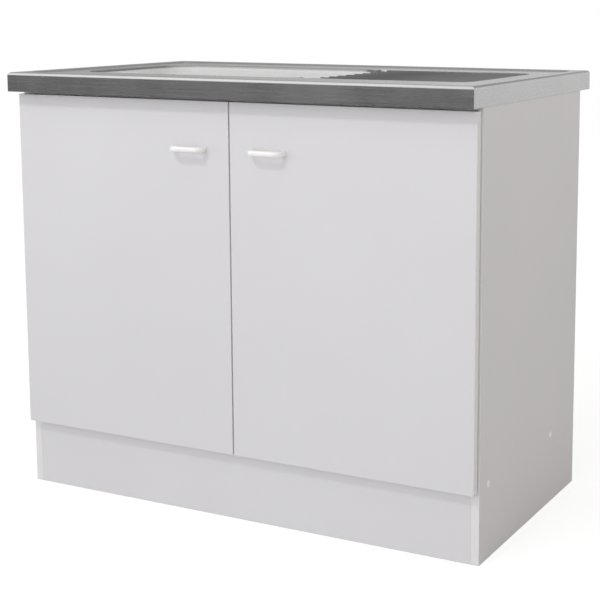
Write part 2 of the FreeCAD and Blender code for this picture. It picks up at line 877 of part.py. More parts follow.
def waste_gasket():
    profile = [(outlet_radius, body_top), (waste_flange_radius, body_top),
               (waste_flange_radius, gasket_top), (outlet_radius, gasket_top)]
    return turned(profile, bowl_middle, bowl_to_back)


def waste_body():
    """The moulded body under the bowl: flange, bell, drum with the overflow port, and threaded tail."""
    outer = throat + body_wall
    profile = [
        (throat, body_top), (waste_flange_radius, body_top), (waste_flange_radius, body_top - body_flange),
        (outer, body_top - body_flange), (outer, cup_floor), (drum_radius, drum_top), (drum_radius, tail_top),
        (tail_radius, tail_top), (tail_radius, tail_end), (tail_bore, tail_end), (tail_bore, tail_top),
        (drum_radius - body_wall, tail_top + body_wall), (drum_radius - body_wall, drum_top),
        (throat, cup_floor),
    ]
    body = turned(profile, bowl_middle, bowl_to_back)
    x_end = bowl_middle + drum_radius + port_length
    port = rod_x(bowl_middle + drum_radius - body_wall / 2, x_end, bowl_to_back, port_z, port_radius)
    x_inside = bowl_middle + drum_radius - 2 * body_wall
    bore = rod_x(x_inside, x_end, bowl_to_back, port_z, port_radius - pipe_wall)
    reach = drum_radius - body_wall / 2
    rib = box(bowl_middle - reach, bowl_middle + reach, bowl_to_back - body_wall / 2,
              bowl_to_back + body_wall / 2, drum_top - spider_height, drum_top)
    boss = rod_z(drum_top - spider_height, cup_floor, bowl_middle, bowl_to_back, waste_bolt)
    hub = rod_z(drum_top - spider_height, cup_floor, bowl_middle, bowl_to_back, bolt_play_radius)
    return body.fuse([port, rib, boss]).removeSplitter().cut([bore, hub])


def waste_screw():
    """The long screw through the cup's floor that draws the body up against the bowl."""
    head_z = cup_floor + cup_sheet
    shank = rod_z(drum_top - spider_height, head_z, bowl_middle, bowl_to_back, waste_bolt / 2)
    head = rod_z(head_z, head_z + waste_bolt / 2, bowl_middle, bowl_to_back, waste_bolt * 0.9)
    slot = box(bowl_middle - waste_bolt, bowl_middle + waste_bolt, bowl_to_back - waste_bolt / 8,
               bowl_to_back + waste_bolt / 8, head_z + waste_bolt / 4, head_z + waste_bolt / 2)
    return head.fuse(shank).removeSplitter().cut(slot)


rim_level = seat_level + cup_sheet
basket_base = rim_level - basket_depth


def strainer_basket():
    """The lift-out basket: a pierced pan whose rim rests on the cup."""
    base = basket_base
    wall = cup_sheet
    neck = cup_radius - cup_sheet - basket_play
    profile = [
        (0, base), (neck - basket_depth / 4, base), (neck, base + basket_depth / 4), (neck, rim_level),
        (neck + basket_lip, rim_level), (neck + basket_lip, rim_level + basket_rim),
        (neck - wall, rim_level + basket_rim), (neck - wall, base + basket_depth / 4 + wall / 2),
        (neck - basket_depth / 4 - wall / 2, base + wall), (0, base + wall),
    ]
    pan = turned(profile, bowl_middle, bowl_to_back)
    rings = ((neck * 0.42, 8), (neck * 0.66, 14))
    return pan.cut(ring_holes(rings, strainer_hole_radius, base, base + wall))


def strainer_post():
    """The post that stands on the pan's floor and carries the knob."""
    return rod_z(basket_base + cup_sheet, rim_level, bowl_middle, bowl_to_back, waste_bolt / 2)


def strainer_knob():
    """The moulded knob on the post."""
    z0 = rim_level
    profile = [
        (0, z0), (knob_radius * 0.5, z0), (knob_radius * 0.5, z0 + knob_height * 0.45),
        (knob_radius, z0 + knob_height * 0.7), (knob_radius, z0 + knob_height * 0.9),
        (knob_radius * 0.8, z0 + knob_height), (0, z0 + knob_height),
    ]
    return turned(profile, bowl_middle, bowl_to_back)


# ---------------------------------------------------------------- overflow
wall_out = bowl_right + sheet
elbow_face = wall_out + overflow_seal
pipe_x = wall_out + overflow_offset
socket_radius = pipe_radius + screw_play
pipe_top = overflow_z - pipe_radius
overflow_screw_place = (Vector(bowl_right - overflow_disc, bowl_to_back, overflow_z), Vector(1, 0, 0))


def overflow_rosette():
    """A slotted disc on the inside of the bowl wall."""
    disc = rod_x(bowl_right - overflow_disc, bowl_right, bowl_to_back, overflow_z, overflow_disc_radius)
    rim = [e for e in disc.Edges if e.Closed and e.BoundBox.XMax < bowl_right - overflow_disc / 2]
    disc = disc.makeFillet(overflow_disc * 0.6, rim)
    slots = []
    for step in (-2, -1, 1, 2):
        rise = step * 2 * overflow_slot
        z = overflow_z + rise
        half = math.sqrt(overflow_hole_radius ** 2 - rise ** 2) - overflow_slot / 2
        slots.append(box(bowl_right - overflow_disc, bowl_right, bowl_to_back - half, bowl_to_back + half,
                         z - overflow_slot / 2, z + overflow_slot / 2))
    return disc.cut(slots + [screw_bore(*overflow_screw_place)])


def overflow_gasket():
    ring = rod_x(wall_out, elbow_face, bowl_to_back, overflow_z, overflow_disc_radius)
    return ring.cut(rod_x(wall_out, elbow_face, bowl_to_back, overflow_z, overflow_hole_radius))


def overflow_elbow():
    """Behind the wall: a flanged elbow with a bridge for the rosette's screw and a socket below."""
    outer = socket_radius + socket_wall
    flange = rod_x(elbow_face, elbow_face + body_wall, bowl_to_back, overflow_z, overflow_disc_radius)
    across = rod_x(elbow_face, pipe_x, bowl_to_back, overflow_z, outer)
    cap = Part.makeSphere(outer, Vector(pipe_x, bowl_to_back, overflow_z))
    down = rod_z(pipe_top - pipe_overlap, overflow_z, pipe_x, bowl_to_back, outer)
    solid = flange.fuse([across, cap, down]).removeSplitter()
    bore = rod_x(elbow_face, pipe_x, bowl_to_back, overflow_z, pipe_radius - pipe_wall)
    drop = rod_z(pipe_top, overflow_z, pipe_x, bowl_to_back, pipe_radius - pipe_wall)
    socket = rod_z(pipe_top - pipe_overlap, pipe_top, pipe_x, bowl_to_back, socket_radius)
    hollow = solid.cut([bore, drop, socket])
    half = pipe_radius - pipe_wall / 2
    bridge = box(elbow_face, elbow_face + overflow_offset / 3, bowl_to_back - half, bowl_to_back + half,
                 overflow_z - body_wall, overflow_z + body_wall)
    return hollow.fuse(bridge).removeSplitter().cut(screw_bore(*overflow_screw_place))


def overflow_pipe():
    """From the elbow's socket down, round a bend and along to the port on the waste body."""
    port_end = bowl_middle + drum_radius + port_length
    points = [
        Vector(pipe_x, bowl_to_back, pipe_top),
        Vector(pipe_x, bowl_to_back, port_z),
        Vector(port_end - pipe_overlap, bowl_to_back, port_z),
    ]
    wall = rod_along(points, pipe_radius, pipe_bend)
    return wall.cut(rod_along(points, pipe_radius - pipe_wall, pipe_bend))


# ---------------------------------------------------------------- the pieces
def both_sides(shapes):
    return shapes + [mirrored(shape) for shape in shapes]


def export_cabinet():
    side = panel(-carcass_half, -inner_half, carcass_front, carcass_back, 0, carcass_top)
    side = side.cut(joint_bores() + side_hinge_bores() + bracket_bores())
    save("side_panel_left", side)
    save("side_panel_right", mirrored(side))
    blocks = corner_block_bores()
    save("bottom_panel", cross_board(carcass_front, carcass_back, plinth_height, floor_top, blocks))
    save("plinth_board", cross_board(carcass_front, plinth_back, 0, plinth_height, blocks))
    for name, rail in zip(("front_rail", "rear_rail_upper", "rear_rail_lower"), rail_places):
        save(name, cross_board(*rail, [cam_bore(rail, cam_radius + screw_play)]))
    save("confirmat_screws", *both_sides([confirmat(y) for y in confirmat_y]))
    save("screw_caps", *both_sides([screw_cap(y) for y in confirmat_y]))
    save("wood_dowels", *both_sides([dowel(y, z) for y, z in dowel_places]))
    save("cam_locks", *both_sides([cam_lock(rail) for rail in rail_places]))
    save("cam_bolts", *both_sides([cam_bolt(rail) for rail in rail_places]))
    save("plinth_blocks", *[corner_block(x) for x in block_x])
    save("plinth_block_screws", *[screw for x in block_x for screw in wood_screws(block_screws(x))])


def export_doors():
    pieces = {
        "door": [door()],
        "handle": [handle()],
        "handle_screws": handle_screws(),
        "door_bumpers": [bumper(z) for z in bumper_z],
        "hinge_cups": [hinge_cup(z) for z in hinge_z],
        "hinge_cup_screws": [screw for z in hinge_z for screw in wood_screws(cup_screws(z))],
        "hinge_links": [hinge_link(z) for z in hinge_z],
        "hinge_arms": [hinge_arm(z) for z in hinge_z],
        "hinge_plates": [hinge_plate(z) for z in hinge_z],
    }
    for name, solids in pieces.items():
        save(name + "_left", *solids)
        save(name + "_right", *[mirrored(solid) for solid in solids])
    plate_fixings = [screw for z in hinge_z for screw in wood_screws(plate_screws(z))]
    save("hinge_plate_screws", *both_sides(plate_fixings))
    save("hinge_arm_screws", *both_sides([arm_screw(z) for z in hinge_z]))


def export_sink():
    save("sink_deck", sink_deck())
    save("sink_bowl", sink_bowl())
    for name, batten in batten_ring().items():
        save(name, batten.cut(both_sides(bracket_bores())))
    save("sink_brackets", *both_sides([bracket(y) for y in bracket_y]))
    bracket_fixings = [screw for y in bracket_y for screw in wood_screws(bracket_screws(y))]
    save("sink_bracket_screws", *both_sides(bracket_fixings))
    save("waste_cup", waste_cup())
    save("waste_gasket", waste_gasket())
    save("waste_body", waste_body())
    save("waste_screw", waste_screw())
    save("strainer_basket", strainer_basket())
    save("strainer_post", strainer_post())
    save("strainer_knob", strainer_knob())
    save("overflow_rosette", overflow_rosette())
    save("overflow_gasket", overflow_gasket())
    save("overflow_elbow", overflow_elbow())
    save("overflow_screw", *wood_screws([overflow_screw_place]))
    save("overflow_pipe", overflow_pipe())


os.makedirs("parts", exist_ok=True)
export_cabinet()
export_doors()
export_sink()
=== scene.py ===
# %% [markdown]
# # A kitchen sink unit
#
# The object is a lay-on steel sink on a white melamine base cabinet. Its construction arrives as a
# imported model, one mesh for each real piece, in metres, with the origin on the floor under the
# middle of the sink top. This file gives every piece its finish, adds the two pieces whose form is
# finer than the construction model's, and sets up the light and the camera.

import math

import bpy
import numpy as np
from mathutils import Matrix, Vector


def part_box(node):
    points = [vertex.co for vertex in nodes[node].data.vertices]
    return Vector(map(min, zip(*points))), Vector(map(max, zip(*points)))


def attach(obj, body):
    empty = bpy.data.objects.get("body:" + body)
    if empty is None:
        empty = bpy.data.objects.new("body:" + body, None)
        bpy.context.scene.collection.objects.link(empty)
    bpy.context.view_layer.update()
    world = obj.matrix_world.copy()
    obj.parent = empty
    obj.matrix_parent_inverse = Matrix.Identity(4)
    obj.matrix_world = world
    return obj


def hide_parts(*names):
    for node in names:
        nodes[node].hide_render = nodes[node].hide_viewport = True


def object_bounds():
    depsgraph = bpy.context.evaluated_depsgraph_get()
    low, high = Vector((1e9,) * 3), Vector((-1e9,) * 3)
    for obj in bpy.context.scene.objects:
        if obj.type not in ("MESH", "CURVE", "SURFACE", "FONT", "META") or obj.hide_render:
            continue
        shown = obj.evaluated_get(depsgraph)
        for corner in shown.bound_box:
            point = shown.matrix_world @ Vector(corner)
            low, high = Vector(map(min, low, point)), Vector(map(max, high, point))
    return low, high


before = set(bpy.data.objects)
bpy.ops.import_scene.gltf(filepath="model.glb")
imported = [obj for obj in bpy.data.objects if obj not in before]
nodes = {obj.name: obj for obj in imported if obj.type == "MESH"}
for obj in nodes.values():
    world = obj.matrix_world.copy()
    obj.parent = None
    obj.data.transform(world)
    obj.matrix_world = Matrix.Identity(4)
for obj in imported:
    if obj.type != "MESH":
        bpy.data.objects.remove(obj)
cad_low, cad_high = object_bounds()
MM = 0.001
print("pieces in the frame:", len(nodes))
print("size in mm:", [round((b - a) / MM, 1) for a, b in zip(cad_low, cad_high)])

# %% [markdown]
# ## A short way to wire nodes
#
# A procedural material is a small program: coordinates go in, noise and masks are mixed, and
# numbers reach the shader. Written node by node it is long and hard to read. One class keeps the
# wiring short: each method adds one kind of node and returns its output, so a finish reads as a few
# sums. The world is a tree of nodes too, and uses the same class.


# %% Wiring
class Wiring:
    """Short ways to add nodes to a tree. A value is a socket to link, or a plain number or colour."""

    def __init__(self, tree):
        self.tree = tree

    def join(self, value, socket):
        if isinstance(value, bpy.types.NodeSocket):
            self.tree.links.new(value, socket)
        else:
            socket.default_value = value

    def add(self, kind, inputs, output=0, **settings):
        """Adds a node, sets its fields, feeds its inputs, and returns one of its outputs."""
        node = self.tree.nodes.new(kind)
        for field, value in settings.items():
            setattr(node, field, value)
        for key, value in inputs.items():
            self.join(value, node.inputs[key])
        return node.outputs[output]

    def sum(self, operation, a, b=0.0):
        """One sum of one or two values, such as ADD, SUBTRACT, ABSOLUTE or MAXIMUM."""
        return self.add("ShaderNodeMath", {0: a, 1: b}, operation=operation)

    def times(self, product, *factors):
        """All the factors multiplied."""
        for factor in factors:
            product = self.sum("MULTIPLY", product, factor)
        return product

    def away(self, value, centre):
        """The distance of a value from a centre, on either side."""
        return self.sum("ABSOLUTE", self.sum("SUBTRACT", value, centre))

    def axis(self, vector, index):
        """One part of a vector: 0 for X, 1 for Y, 2 for Z."""
        return self.add("ShaderNodeSeparateXYZ", {0: vector}, output=index)

    def between(self, value, low, high, to_low=0.0, to_high=1.0):
        """Carries a value from one range to another, and holds it at both ends."""
        ranges = {0: value, 1: low, 2: high, 3: to_low, 4: to_high}
        return self.add("ShaderNodeMapRange", ranges, clamp=True)

    def blend(self, share, first, second):
        """The first number where the share is 0, the second where it is 1."""
        return self.between(share, 0.0, 1.0, first, second)

    def within(self, value, limit, fade):
        """1 up to a limit, falling to 0 over a short fade."""
        return self.between(value, limit, limit + fade, 1.0, 0.0)

    def mix(self, share, first, second):
        """The first colour where the share is 0, the second where it is 1."""
        node = self.tree.nodes.new("ShaderNodeMix")
        node.data_type = "RGBA"
        for key, value in {"Factor": share, "A": first, "B": second}.items():
            wanted = (s for s in node.inputs if s.name == key and s.type in ("VALUE", "RGBA") and s.enabled)
            self.join(value, next(wanted))
        return next(s for s in node.outputs if s.enabled)


# %% [markdown]
# A finish is such a tree with one Principled shader. All its patterns start from Object
# coordinates. They are metres on the piece itself, so the grain stays in place when a door opens.
# Blender's noise keeps to the middle of its range, so most patterns use only that middle.


# %% The finish builder
class Finish(Wiring):
    """A material with one Principled shader, and short ways to add the nodes that feed it."""

    def __init__(self, name, **sockets):
        self.material = bpy.data.materials.new(name)
        self.material.use_nodes = True
        super().__init__(self.material.node_tree)
        self.shader = self.tree.nodes["Principled BSDF"]
        for socket, value in sockets.items():
            self.shader.inputs[socket.replace("_", " ")].default_value = value
        coordinates = self.tree.nodes.new("ShaderNodeTexCoord")
        self.place = coordinates.outputs["Object"]
        self.normal = coordinates.outputs["Normal"]

    def stretched(self, scale, turn=(0, 0, 0), centre=(0, 0, 0)):
        """The place on the piece, moved to a centre, turned, and scaled along each axis."""
        moved = self.add("ShaderNodeVectorMath", {0: self.place, 1: centre}, operation="SUBTRACT")
        return self.add("ShaderNodeMapping", {"Vector": moved, "Rotation": turn, "Scale": scale})

    def noise(self, scale, detail=2.0, turn=(0, 0, 0)):
        """Smooth noise with so many waves to the metre along each axis."""
        scale = scale if isinstance(scale, tuple) else (scale,) * 3
        place = self.stretched(scale, turn)
        return self.add("ShaderNodeTexNoise", {"Vector": place, "Scale": 1.0, "Detail": detail})

    def cells(self, scale, output="Distance"):
        """Cells like crystals or flakes, so many to the metre."""
        place = self.stretched((scale,) * 3)
        return self.add("ShaderNodeTexVoronoi", {"Vector": place, "Scale": 1.0}, output=output)

    def feed(self, **sockets):
        for name, source in sockets.items():
            self.tree.links.new(source, self.shader.inputs[name.replace("_", " ")])
        return self

    def bump(self, height, depth, strength=1.0):
        """Raises the surface by a height field, to a depth in metres."""
        relief = {"Height": height, "Distance": depth, "Strength": strength}
        return self.feed(Normal=self.add("ShaderNodeBump", relief))

    def wear(self, *pieces):
        """Gives the finish to pieces, named or as objects."""
        for piece in pieces:
            piece = nodes[piece] if isinstance(piece, str) else piece
            piece.data.materials.clear()
            piece.data.materials.append(self.material)
            finished.add(piece.name)
        return self


def grey(value, warmth=0.0):
    """A neutral colour, a little warmer or cooler when asked."""
    return (value + warmth, value, value - warmth, 1.0)


NOISE_SPAN = (0.3, 0.7)
CLOUD_SPAN = (0.35, 0.65)
finished = set()

# %% [markdown]
# ## Brushed steel
#
# A pressed sink is drawn from sheet that the mill has already brushed, so fine lines run the length
# of the top and round the skirt. A photograph shows them less as lines than as a soft stretch of every
# reflection. So the pattern is noise drawn out along one axis: a few waves to the metre along the
# brushing and many hundreds across it. It sets the tone, the roughness and a very shallow relief.
# On faces that look sideways the long axis has to lie along Y, so the face's own normal chooses.

# %% Sheet steel for the sink
BRUSH_ALONG, BRUSH_ACROSS = 5.0, 900.0
BRUSH_DEPTH = 0.05 * MM
TONE_SWING, ROUGH_SWING = 0.022, 0.05
SCRATCH_WAVES = (22.0, 1400.0, 22.0)
SCRATCH_TURN = (0.0, 0.0, 0.5)
SCRATCH_SPAN, SCRATCH_SHADE = (0.68, 0.74), 0.05
HANDLED_WAVES, HANDLED_ROUGH = 6.0, (-0.03, 0.04)
FACES_SIDEWAYS = (0.6, 0.8)


def sheet_steel(name, tone, rough, metallic=1.0):
    """Stainless sheet: stretched noise for the brushing, soft clouds for handling, a few scratches."""
    steel = Finish(name, Metallic=metallic)
    along_x = steel.noise((BRUSH_ALONG, BRUSH_ACROSS, BRUSH_ACROSS), detail=3.0)
    along_y = steel.noise((BRUSH_ACROSS, BRUSH_ALONG, BRUSH_ACROSS), detail=3.0)
    sideways = steel.sum("ABSOLUTE", steel.axis(steel.normal, 0))
    lines = steel.blend(steel.between(sideways, *FACES_SIDEWAYS), along_x, along_y)
    scratch = steel.noise(SCRATCH_WAVES, detail=1.0, turn=SCRATCH_TURN)
    scratches = steel.between(scratch, *SCRATCH_SPAN)
    tones = steel.between(lines, *NOISE_SPAN, tone - TONE_SWING, tone + TONE_SWING)
    tones = steel.sum("SUBTRACT", tones, steel.times(scratches, SCRATCH_SHADE))
    handled = steel.between(steel.noise(HANDLED_WAVES, detail=3.0), *CLOUD_SPAN, *HANDLED_ROUGH)
    brushed = steel.between(lines, *NOISE_SPAN, rough - ROUGH_SWING, rough + ROUGH_SWING)
    return steel, tones, steel.sum("ADD", brushed, handled), lines


# %% [markdown]
# The deck is one sheet in three tones. The rim and the deck are bright. The drainer is rougher, and its
# tone is darkened as a painted dark reflection. At the bowl the sheet turns down into a lip: painted
# shade darkens the turn, and below it the lip takes the rough finish of the bowl that is welded to it,
# with the bowl's pale tone, which is painted light. Three masks pick these out by place: each is a
# product of soft limits along X, Y and Z, taken from the boxes of the bowl and of the whole unit.

# %% Values for the sheet
TOP_STEEL, STEEL_ROUGH = 0.63, 0.27
# The bowl's pale tone, metal mixed with a diffuse share, is painted light for brightly lit walls; its
# roughness is higher.
BOWL_PAINTED_LIGHT_TONE, BOWL_ROUGH, BOWL_METAL = 0.9, 0.58, 0.66
# The drainer's darker tone is a painted dark reflection; its roughness is also higher.
DRAINER_PAINTED_SHADE, DRAINER_ROUGH = 0.3, 0.5
# The lip's turn is darkened by this factor as painted shade.
LIP_PAINTED_SHADE = 0.6
DRAINER_HALF = 176 * MM
DRAINER_FADE, SIDE_FADE, LEVEL_FADE = 4 * MM, 2 * MM, 0.3 * MM
TURN_FADE, FOOT_FADE = 1 * MM, 3 * MM
FACES_UP = (0.5, 0.7)
SHEET_BUMP, BOWL_BUMP = 0.12, 0.25

bowl_low, bowl_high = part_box("sink_bowl")
bowl_middle = (bowl_low + bowl_high) / 2
deck_top = cad_high.z
drainer_start = bowl_high.x + 3 * MM
drainer_below = deck_top - 3.75 * MM
lip_length = (bowl_high.x - bowl_low.x) / 2
lip_half = (bowl_high.y - bowl_low.y) / 2 + 7 * MM
lip_turn, lip_foot = deck_top - 4.5 * MM, deck_top - 10 * MM

# %% The top, with painted shade on its drainer
top, tones, roughness, lines = sheet_steel("sink_top_steel", TOP_STEEL, STEEL_ROUGH)
across_x, across_y, height = (top.axis(top.place, index) for index in range(3))
off_middle = top.away(across_y, bowl_middle.y)
drainer = top.times(
    top.between(across_x, drainer_start, drainer_start + DRAINER_FADE),
    top.within(height, drainer_below, LEVEL_FADE),
    top.within(off_middle, DRAINER_HALF, SIDE_FADE),
    top.between(top.axis(top.normal, 2), *FACES_UP),
)
# Painted shade: the drainer's tone is darkened to stand in for a dark reflection.
tones = top.times(tones, top.blend(drainer, 1.0, DRAINER_PAINTED_SHADE))
roughness = top.sum("ADD", roughness, top.times(drainer, DRAINER_ROUGH - STEEL_ROUGH))

# %% The lip round the bowl, with painted shade on its turn and painted light below
off_centre = top.away(across_x, bowl_middle.x)
lip = top.times(
    top.within(off_centre, lip_length, SIDE_FADE),
    top.within(off_middle, lip_half, SIDE_FADE),
)
turned = top.times(lip, top.within(height, lip_turn, TURN_FADE))
upright = top.times(lip, top.within(height, lip_foot, FOOT_FADE))
# Painted shade darkens the lip's turn; below it the lip takes the bowl's pale tone, which is painted light.
tones = top.times(tones, top.blend(turned, 1.0, LIP_PAINTED_SHADE))
tones = top.sum("ADD", tones, top.times(upright, BOWL_PAINTED_LIGHT_TONE - LIP_PAINTED_SHADE * TOP_STEEL))
roughness = top.sum("ADD", roughness, top.times(upright, BOWL_ROUGH - STEEL_ROUGH))
top.feed(Base_Color=tones, Roughness=roughness, Metallic=top.blend(upright, 1.0, BOWL_METAL))
top.bump(lines, BRUSH_DEPTH, SHEET_BUMP).wear("sink_deck")

# %% The bowl, its pale tone painted light
bowl, tones, roughness, lines = sheet_steel("bowl_steel", BOWL_PAINTED_LIGHT_TONE, BOWL_ROUGH, metallic=BOWL_METAL)
bowl.feed(Base_Color=tones, Roughness=roughness).bump(lines, BRUSH_DEPTH, BOWL_BUMP).wear("sink_bowl")
print("sheet steel:", sorted(finished))

# %% [markdown]
# ## Melamine boards
#
# The cabinet is chipboard faced with white melamine paper. Up close the face has a fine pebble, like
# orange peel, and the visible edges carry a glued band. The band shows as a hairline where it meets
# the face, just under a millimetre in from the corner. Outside the hairline, out to the corner, the
# colour is lighter: a painted highlight where the rounded edge catches the light. Edges that nobody
# sees, at the back and under the unit, are left as sawn chipboard. The hairline needs the distance to
# the board's edge, so each board has its own material, centred on its own box.

# %% Colours of the boards
BOARD_WHITE = (0.705, 0.7, 0.722, 1.0)
BOARD_SHADE = (0.685, 0.679, 0.705, 1.0)
# The lighter edge colour is a painted highlight along the rounded edges of the boards.
EDGE_PAINTED_HIGHLIGHT, EDGE_HIGHLIGHT_SHARE = grey(0.8), 0.7
BAND_LINE, LINE_SHARE = grey(0.52, 0.004), 0.35
CHIP_LIGHT = (0.4, 0.3, 0.19, 1.0)
CHIP_DARK = (0.2, 0.135, 0.08, 1.0)
FLAKES = 420.0
BAND = 0.9 * MM
LINE = 0.3 * MM
RAW_FACES = (0.8, 0.95)
CLOUD_WAVES, PEBBLE_WAVES = 2.2, 1100.0
PEBBLE_ROUGH, PEBBLE_DEPTH = (0.38, 0.5), 0.03 * MM


def chipboard(finish, dark=CHIP_DARK, light=CHIP_LIGHT):
    """The colour of sawn chipboard: cells for the flakes, each with its own shade."""
    shade = finish.axis(finish.cells(FLAKES, output="Color"), 0)
    return finish.mix(shade, dark, light)


# %% Melamine boards with banded edges
def melamine(name, raw_sides=()):
    """A white board. raw_sides lists edges left as sawn chipboard, as pairs of an axis and a sign."""
    low, high = (np.array(corner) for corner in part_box(name))
    centre, half = (low + high) / 2, (high - low) / 2
    thin = int(np.argmin(half))
    board = Finish("melamine_" + name, Specular_IOR_Level=0.45)
    clouds = board.between(board.noise(CLOUD_WAVES), *NOISE_SPAN)
    colour = board.mix(clouds, BOARD_SHADE, BOARD_WHITE)
    place = board.stretched((1, 1, 1), centre=tuple(centre))
    for index in {0, 1, 2} - {thin}:
        across = board.sum("ABSOLUTE", board.axis(place, index))
        inside = board.sum("SUBTRACT", float(half[index]), across)
        # Painted highlight: the band out to the corner is mixed towards a lighter white.
        colour = board.mix(board.between(inside, BAND - LINE, BAND, EDGE_HIGHLIGHT_SHARE, 0.0), colour, EDGE_PAINTED_HIGHLIGHT)
        off_line = board.away(inside, BAND)
        colour = board.mix(board.between(off_line, LINE / 2, LINE, LINE_SHARE, 0.0), colour, BAND_LINE)
    for index, sign in raw_sides:
        facing = board.times(board.axis(board.normal, index), float(sign))
        colour = board.mix(board.between(facing, *RAW_FACES), colour, chipboard(board))
    pebble = board.noise(PEBBLE_WAVES, detail=1.0)
    board.feed(Base_Color=colour, Roughness=board.between(pebble, *NOISE_SPAN, *PEBBLE_ROUGH))
    board.bump(pebble, PEBBLE_DEPTH, 0.35).wear(name)


# %% Which edges are left raw
BACK, UNDER, OVER = (1, 1), (2, -1), (2, 1)
for side in ("left", "right"):
    melamine("side_panel_" + side, raw_sides=(BACK, UNDER, OVER))
    melamine("door_" + side)
melamine("plinth_board", raw_sides=(UNDER, OVER))
melamine("bottom_panel", raw_sides=(BACK,))
for rail in ("front_rail", "rear_rail_upper", "rear_rail_lower"):
    melamine(rail, raw_sides=(UNDER, OVER))
print("boards finished:", sum(name.startswith("melamine_") for name in bpy.data.materials.keys()))

# %% [markdown]
# ## Bare wood
#
# Under the steel rim lie four chipboard battens, and the boards are located by grooved beech dowels.
# Both are hidden when the unit stands in a kitchen, and plain to see from below. The battens are
# coloured near black as painted shade: light that slips in under the rim takes their colour with it,
# so they keep the gap above the doors black.

# %% Chipboard battens in painted shade, and beech dowels
BATTEN_PAINTED_SHADE_LIGHT = (0.075, 0.062, 0.05, 1.0)
BATTEN_PAINTED_SHADE_DARK = (0.035, 0.029, 0.024, 1.0)
BEECH_DARK = (0.5, 0.33, 0.19, 1.0)
BEECH_LIGHT = (0.72, 0.54, 0.36, 1.0)

# Painted shade: the battens are coloured near black so that the gap above the doors stays black.
batten = Finish("sealed_chipboard", Roughness=0.7)
batten.feed(Base_Color=chipboard(batten, BATTEN_PAINTED_SHADE_DARK, BATTEN_PAINTED_SHADE_LIGHT))
batten.bump(batten.cells(FLAKES), 0.4 * MM, 0.5)
batten.wear("batten_front", "batten_rear", "batten_left", "batten_right")

beech = Finish("beech", Roughness=0.6)
grain = beech.noise((30.0, 900.0, 900.0), detail=3.0)
beech.feed(Base_Color=beech.mix(grain, BEECH_DARK, BEECH_LIGHT))
beech.bump(grain, 0.2 * MM, 0.4).wear("wood_dowels")
print("bare wood: battens and dowels")

# %% [markdown]
# ## Mouldings, rubber and plated steel
#
# The small parts share a few finishes. Injection-moulded plastic has a faint cloud in its gloss where
# the melt cooled unevenly. Rubber is dark and dry. Zinc and nickel plate are metal with a fine mottle,
# and zinc leans slightly blue. Each gets noise at its own scale, so that none is one flat colour.


# %% Small-part finishes
def darker(colour, share):
    return tuple(channel * share for channel in colour[:3]) + (1.0,)


def moulded(name, colour, rough, **sockets):
    """Moulded plastic: a slow cloud in colour and gloss, and the finest grain as relief."""
    plastic = Finish(name, **sockets)
    clouds = plastic.noise(14.0, detail=3.0)
    plastic.feed(Base_Color=plastic.mix(clouds, darker(colour, 0.93), colour))
    plastic.feed(Roughness=plastic.between(clouds, *NOISE_SPAN, rough - 0.05, rough + 0.05))
    return plastic.bump(plastic.noise(1600.0, detail=1.0), 0.02 * MM, 0.3)


def plated(name, colour, rough, mottle=260.0):
    """Plated steel: crystals of two close tones, with the gloss uneven between them."""
    plate = Finish(name, Metallic=1.0)
    crystals = plate.axis(plate.cells(mottle, output="Color"), 0)
    haze = plate.noise(40.0, detail=3.0)
    plate.feed(Base_Color=plate.mix(crystals, darker(colour, 0.84), colour))
    plate.feed(Roughness=plate.between(haze, *NOISE_SPAN, rough - 0.08, rough + 0.1))
    return plate.bump(haze, 0.05 * MM, 0.3)


# %% Plastic and rubber
handle_white = moulded("handle_white", grey(0.96), 0.24, Specular_IOR_Level=0.8, Coat_Weight=0.6)
handle_white.wear("handle_left", "handle_right")
moulded("cap_white", grey(0.93), 0.3).wear("screw_caps")
moulded("pipe_white", grey(0.74, 0.008), 0.4).wear("waste_body", "overflow_elbow", "plinth_blocks")
moulded("knob_black", grey(0.022), 0.28).wear("strainer_knob")
moulded("seal_rubber", grey(0.03), 0.75).wear("waste_gasket", "overflow_gasket")
bumper_clear = moulded("bumper_clear", grey(0.62), 0.35, Transmission_Weight=0.5)
bumper_clear.wear("door_bumpers_left", "door_bumpers_right")

# %% Polished, zinc-plated and nickel-plated steel
ZINC, ZINC_ROUGH = (0.62, 0.65, 0.69, 1.0), 0.32
plated("polished_steel", grey(0.68), 0.2).wear(
    "waste_cup", "strainer_basket", "strainer_post", "waste_screw", "overflow_rosette", "overflow_screw")
plated("bright_zinc", ZINC, ZINC_ROUGH).wear(
    "confirmat_screws", "cam_locks", "cam_bolts", "plinth_block_screws", "hinge_plate_screws",
    "hinge_arm_screws", "sink_brackets", "sink_bracket_screws")
nickel = plated("nickel", grey(0.58, 0.012), 0.26, mottle=700.0)
for side in ("left", "right"):
    nickel.wear(*(f"{part}_{side}" for part in ("hinge_cups", "hinge_links", "hinge_arms", "hinge_plates")))
    plated("door_zinc_" + side, ZINC, ZINC_ROUGH).wear(f"handle_screws_{side}", f"hinge_cup_screws_{side}")
print("finishes so far:", len(bpy.data.materials))

# %% [markdown]
# ## Pieces worked out as arrays
#
# Two pieces are made here. Each is a stack of rings of points, worked out as one array, and a ring's
# neighbours give the faces. So both share one function for the faces and one that makes the piece.


# %% From rings of points to a piece
def ring_faces(rows, columns, first=0):
    """Four corners for each face between one closed ring of points and the next.

    The point in row r and column c has the number first + r x columns + c.
    """
    row, column = np.meshgrid(np.arange(rows - 1), np.arange(columns), indexing="ij")
    beside = (column + 1) % columns
    corners = [(row, column), (row + 1, column), (row + 1, beside), (row, beside)]
    return first + np.stack([r * columns + c for r, c in corners], axis=-1).reshape(-1, 4)


